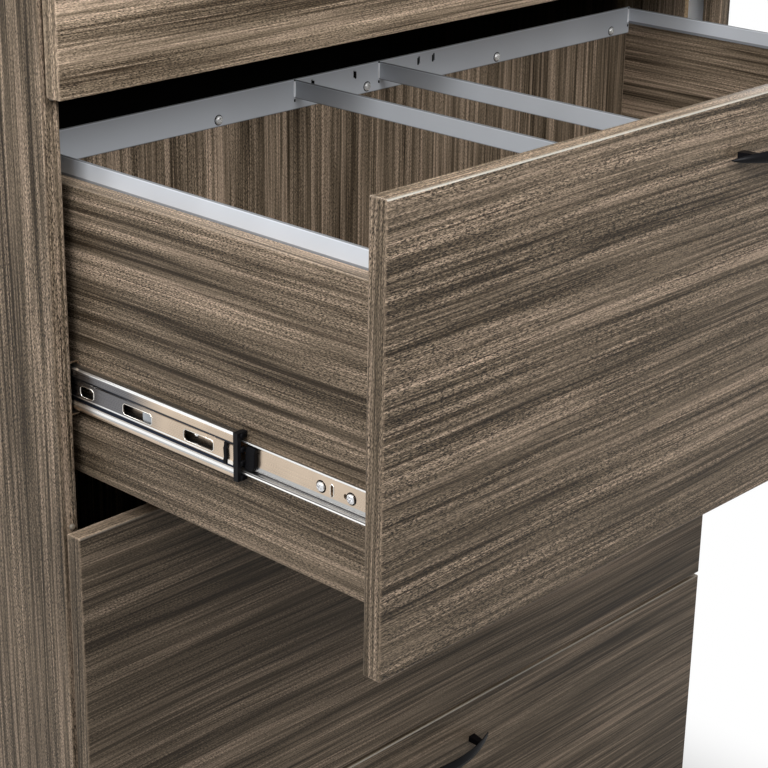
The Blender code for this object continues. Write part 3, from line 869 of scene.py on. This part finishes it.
class CABINET_OT_fittings(bpy.types.Operator):
    """Adds screws, rivets, rims, ball cages, latch strips, stops, cap lobes, bar ends and bumpers"""
    bl_idname = "cabinet.fittings"
    bl_label = "Small fittings"

    def execute(self, context):
        self.head = context.scene.cabinet_metal.screw_head
        self.finish = {name: plain(name, **values) for name, values in FINISHES.items()}
        for number in DRAWERS:
            self.rail_screws(number)
            self.slide_screws(number)
            self.middle_members(number)
            self.bar_ends(number)
        self.bumpers()
        return {"FINISHED"}

    def fitted(self, piece, body, slot):
        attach(piece, body)

    def lumps(self, kind, owner, spots, facing, body):
        """A lump of that kind on every spot."""
        sizes, corner, sides, finish, slot = LUMPS[kind]
        shape = Shape(f"{owner}{kind}", spots, material=self.finish[finish])
        solid = shape.stud(*(size * MM for size in sizes), corner, sides)
        if kind in WAVES:
            beat, depth, lean = WAVES[kind]
            x, y, z = shape.split(shape.place())
            solid = shape.move(solid, shape.join(x, y + (x * beat).sine() * depth - x * lean, z))
        self.fitted(shape.build(shape.repeated(solid, FACING[facing])), body, slot)

    def heads(self, name, spots, facing, width, height, finish, body, slot, recess=False):
        """Pan heads on every spot, each turned its own way, with or without a cross recess."""
        shape = Shape(name, spots, width=width, height=height, material=self.finish[finish])
        head = shape.stud(shape.width, shape.width, shape.height, shape.width * 0.34, shape.height * 0.85)
        if recess:
            long, wide, deep = RECESS
            arms = [shape.block((x * width, y * width, deep), shape.join(0.0, 0.0, shape.height))
                    for x, y in ((long, wide), (wide, long))]
            head = shape.cut(head, *arms)
        self.fitted(shape.build(shape.repeated(head, FACING[facing], seed=7)), body, slot)

    def rail_screws(self, number):
        name, slot = f"drawer_{number}", "frame_steel"
        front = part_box(f"{name}_front")
        if number == OPEN_DRAWER:
            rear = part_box(f"{name}_rear_rail")[0].y
        else:
            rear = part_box(f"{name}_file_frame")[1].y - RAIL_SHEET
        spots = [(x, rear, front[1].z - RAIL_SCREW_DOWN) for x in RAIL_SCREWS]
        self.heads(f"{name}_rear_rail_screws", spots, "front", self.head, HEAD_T, "bright_steel", name, slot,
                   recess=True)
        # Painted shade: a black disc under each head stands for the shadow in its countersink
        self.heads(f"{name}_rear_rail_seats", spots, "front", self.head + RAIL_SEAT, SEAT_T, "black_plastic",
                   name, slot)
        spots = [(x, front[1].y + RAIL_FOOT, front[1].z - FOOT_SCREW_DOWN) for x in RAIL_SCREWS]
        self.heads(f"{name}_front_rail_screws", spots, "back", self.head, FRONT_HEAD_T, "screw_steel", name,
                   slot, recess=True)

    def slide_screws(self, number):
        """Screws, rivet and slot rim of the inner members, and screws of the outer members."""
        name, slot = f"drawer_{number}", "slide_zinc"
        at, wide, tall, corner = MEMBER_SLOT
        rivet_at, rivet_d, rivet_t = RIVET
        for side, away, low, high, spots in on_members(number, "inner", MEMBER_SCREWS):
            owner = f"{name}_{side}"
            face = (high.x if side == "left" else low.x) + away * MEMBER_WEB
            middle = spots[0][2]
            spots = at_x(spots, face)
            self.heads(f"{owner}_member_screws", spots, side, self.head, HEAD_T, "screw_steel", name, slot,
                       recess=True)
            # Painted shade: a black disc under each head stands for the shadow in its countersink
            self.heads(f"{owner}_member_seats", spots, side, self.head + MEMBER_SEAT, SEAT_T,
                       "black_plastic", name, slot)
            rim = Shape(f"{owner}_slot_rim", [(face, low.y + at, middle)], material=self.finish["window_rim"])
            self.fitted(rim.build(rim.repeated(rim.rim(wide, tall, corner))), name, slot)
            self.heads(f"{owner}_member_rivet", [(face, low.y + rivet_at, middle)], side, rivet_d, rivet_t,
                       "screw_steel", name, slot)
        for side, away, low, high, spots in on_members(number, "outer", PANEL_SCREWS):
            face = (low.x if side == "left" else high.x) - away * MEMBER_WEB
            inwards = "right" if side == "left" else "left"
            self.heads(f"{name}_{side}_panel_screws", at_x(spots, face), inwards, self.head, PANEL_HEAD_T,
                       "screw_steel", "cabinet", slot, recess=True)

    def middle_members(self, number):
        """Rims round the windows, ball cage behind them, latch strip, cap lobes and stop at the front."""
        name = f"drawer_{number}"
        body = f"{name}_middle_members"
        first = WINDOWS[0][0]
        for side, away, low, high, spots in on_members(number, "middle", [first]):
            owner = f"{name}_{side}_"
            middle, start = spots[0][2], low.y
            outer_face = low.x if side == "left" else high.x
            web = outer_face - away * WEB_SET
            shape = Shape(f"{owner}window_rims", at_x(spots, web), material=self.finish["window_rim"])
            rims = [shape.rim(length, WINDOW_H, WINDOW_CORNER, (0, at - first, 0)) for at, length in WINDOWS]
            rims.append(shape.block(NOTCH, (away * 0.3 * MM, 5 * MM - first, -7 * MM)))
            self.fitted(shape.build(shape.repeated(shape.joined(*rims))), body, "slide_zinc")
            self.lumps("latch_strip", owner, [(web, start + LATCH_AT, middle - 0.3 * MM)], side, body)
            self.lumps("cap_lobes", owner, [(outer_face - away * CAP_MIDDLE, start - CAP_FRONT, middle + up)
                                            for up in LOBES_UP], "front", body)
            self.lumps("ball_cage", owner, [(web - away * CAGE_SET, start + CAGE_AT, middle)], side, body)
            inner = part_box(f"{owner}slide_inner")[0].y
            self.lumps("stop", owner, [(outer_face - away * STOP_SET, inner + STOP_AT, middle)], side, name)

    def bar_ends(self, number):
        """Folded tabs where the bars hook into the rear rail, and black lumps of painted shade in its spare
        slots and at the slots' ends.
        """
        name = f"drawer_{number}"
        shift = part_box(f"{name}_front")[0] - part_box(f"drawer_{OPEN_DRAWER}_front")[0]
        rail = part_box(f"drawer_{OPEN_DRAWER}_rear_rail")[0].y + shift.y
        tabs, ends = [], []
        for bar, inward in (("letter", -1), ("legal", -1), ("right", -1), ("left", 1)):
            low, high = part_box(f"drawer_{OPEN_DRAWER}_{bar}_bar")
            x = low.x if inward < 0 else high.x
            tabs.append((x + inward * 1.0 * MM, rail, (low.z + high.z) / 2 + shift.z))
            ends += [(x + inward * 0.6 * MM, rail, low.z + shift.z - 2.4 * MM),
                     (x + inward * 0.6 * MM, rail, high.z + shift.z - 0.9 * MM)]
        reach = (tabs[2][0] - tabs[3][0]) / 2
        places = [sign * (reach - size) for sign in (-1, 1) for size in FOLDERS]
        spare = [(x, rail + 1.2 * MM, tabs[0][2] + 0.4 * MM) for x in places
                 if min(abs(x - tab[0]) for tab in tabs) > 4 * MM]
        for kind, spots in (("bar_tabs", tabs), ("spare_slots", spare), ("slot_ends", ends)):
            self.lumps(kind, f"{name}_", spots, "front", name)

    def bumpers(self):
        spots = []
        for number in DRAWERS:
            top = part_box(f"drawer_{number}_front")[1].z
            for side, away in SIDES.items():
                low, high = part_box(f"{side}_side_panel")
                spots.append(((low.x + high.x) / 2 - away * BUMPER_IN, low.y, top - BUMPER_DOWN))
        self.lumps("bumpers", "", spots, "front", "cabinet")


# Stage

SEEING_RAYS = ("Is Camera Ray", "Is Glossy Ray", "Is Transmission Ray")    # they see a white room
ROOM_LIGHT = (1.0, 0.99, 0.975, 1)
WHITE = (1, 1, 1, 1)
FLOOR_R = 14.0
FLOOR_TONES = ((0.30, 0.30, 0.30, 1), (0.90, 0.90, 0.90, 1))    # as it lights the cabinet, as it is seen
SHADOW_FADE = (0.03, 0.34)      # from the cabinet's foot, where the paper starts and ends to fade to white
LAMPS = (
    # name, place, target, size
    ("front", (-0.6, -2.6, 3.4), (0.0, -0.3, 1.1), 1.6),
    ("near", (-0.3, -1.7, 1.95), (0.0, 0.1, 1.1), 0.7),
    ("left", (-2.6, -2.4, 3.0), (0.0, 0.0, 1.1), 1.6),
    ("rear", (-3.0, 1.2, 2.0), (0.0, -0.2, 1.0), 1.2),
    ("side", (-1.6, -0.6, 2.2), (-0.4, -0.2, 1.1), 0.8),
    ("fill", (2.6, 1.9, 2.1), (0.3, 0.2, 0.8), 1.8),
)


class CABINET_OT_stage(bpy.types.Operator):
    """Makes the pale floor, the soft studio light and the camera"""
    bl_idname = "cabinet.stage"
    bl_label = "Studio"

    def execute(self, context):
        settings = context.scene.cabinet_stage
        scene = context.scene
        scene.view_settings.view_transform = "Standard"
        self.room(scene, settings)
        self.floor(scene)
        self.lights(scene, settings)
        self.camera(scene, settings)
        return {"FINISHED"}

    def room(self, scene, settings):
        world = bpy.data.worlds.new("room")
        world.use_nodes = True
        net = Net(world.node_tree)
        net.tree.nodes.clear()
        output = net.tree.nodes.new("ShaderNodeOutputWorld")
        light = net.node("ShaderNodeBackground", {}, Color=ROOM_LIGHT, Strength=settings.sky)
        white = net.node("ShaderNodeBackground", {}, Color=WHITE)
        camera, glossy, through = (net.node("ShaderNodeLightPath", {}, out=ray) for ray in SEEING_RAYS)
        mixed = net.node("ShaderNodeMixShader", {}, camera.more(glossy).more(through), light, white)
        net.tree.links.new(mixed.socket, output.inputs["Surface"])
        scene.world = world

    def floor(self, scene):
        """A disc of pale paper that keeps the cabinet's shadow and fades to white round it."""
        bm = bmesh.new()
        bmesh.ops.create_circle(bm, cap_ends=True, segments=64, radius=FLOOR_R)
        mesh = bpy.data.meshes.new("floor")
        bm.to_mesh(mesh)
        bm.free()
        floor = bpy.data.objects.new("floor", mesh)
        floor.location = (0, 0, -0.5 * MM)
        scene.collection.objects.link(floor)
        sh = Shader("floor_paper")
        outside = [((place - (low + high) / 2).size() - (high - low) / 2).more(0.0)
                   for place, low, high in list(zip(sh.split(sh.place()), *CAD_BOX))[:2]]
        away = (outside[0] * outside[0] + outside[1] * outside[1]).root().between(*SHADOW_FADE)
        camera, glossy, through = (sh.node("ShaderNodeLightPath", {}, out=ray) for ray in SEEING_RAYS)
        seen = (camera + glossy + through).between(0.0, 1.0)
        paper = sh.node("ShaderNodeBsdfDiffuse", {}, Color=sh.mix(seen, *FLOOR_TONES))
        white = sh.node("ShaderNodeEmission", {}, Color=WHITE, Strength=1.0)
        mixed = sh.node("ShaderNodeMixShader", {}, away * seen, paper, white)
        sh.tree.links.new(mixed.socket, sh.output.inputs["Surface"])
        assign(floor, sh.material)

    def lights(self, scene, settings):
        for name, place, target, size in LAMPS:
            lamp = bpy.data.lights.new(f"{name}_light", "AREA")
            lamp.size = size
            lamp.energy = getattr(settings, name)
            obj = bpy.data.objects.new(f"{name}_light", lamp)
            obj.location = place
            obj.rotation_euler = (Vector(target) - Vector(place)).to_track_quat("-Z", "Y").to_euler()
            obj.visible_camera = False
            scene.collection.objects.link(obj)

    def camera(self, scene, settings):
        data = bpy.data.cameras.new("camera")
        data.sensor_width = 36.0
        data.lens = settings.lens
        camera = bpy.data.objects.new("camera", data)
        camera.location = settings.place
        camera.rotation_euler = Euler(settings.turn, "XYZ")
        scene.collection.objects.link(camera)
        scene.camera = camera


OPERATORS = (CABINET_OT_laminate, CABINET_OT_metal, CABINET_OT_handles, CABINET_OT_fittings,
             CABINET_OT_stage)


class CABINET_PT_panel(bpy.types.Panel):
    """Lists the cabinet's steps and settings"""
    bl_idname = "CABINET_PT_panel"
    bl_label = "Filing Cabinet"
    bl_space_type = "VIEW_3D"
    bl_region_type = "UI"
    bl_category = "Cabinet"

    def draw(self, context):
        for name, group in SETTINGS.items():
            box = self.layout.box()
            box.label(text=group.__doc__)
            for key in group.__annotations__:
                box.prop(getattr(context.scene, name), key)
        for operator in OPERATORS:
            self.layout.operator(operator.bl_idname)


def register():
    for group in (*SETTINGS.values(), *OPERATORS, CABINET_PT_panel):
        bpy.utils.register_class(group)
    for name, group in SETTINGS.items():
        setattr(bpy.types.Scene, name, bpy.props.PointerProperty(type=group))


def unregister():
    for name in SETTINGS:
        delattr(bpy.types.Scene, name)
    for group in (CABINET_PT_panel, *OPERATORS[::-1], *list(SETTINGS.values())[::-1]):
        bpy.utils.unregister_class(group)


def main():
    register()
    bpy.ops.cabinet.laminate()
    bpy.ops.cabinet.metal()
    bpy.ops.cabinet.handles()
    bpy.ops.cabinet.fittings()
    bpy.ops.cabinet.stage()


if __name__ == "__main__":
    main()
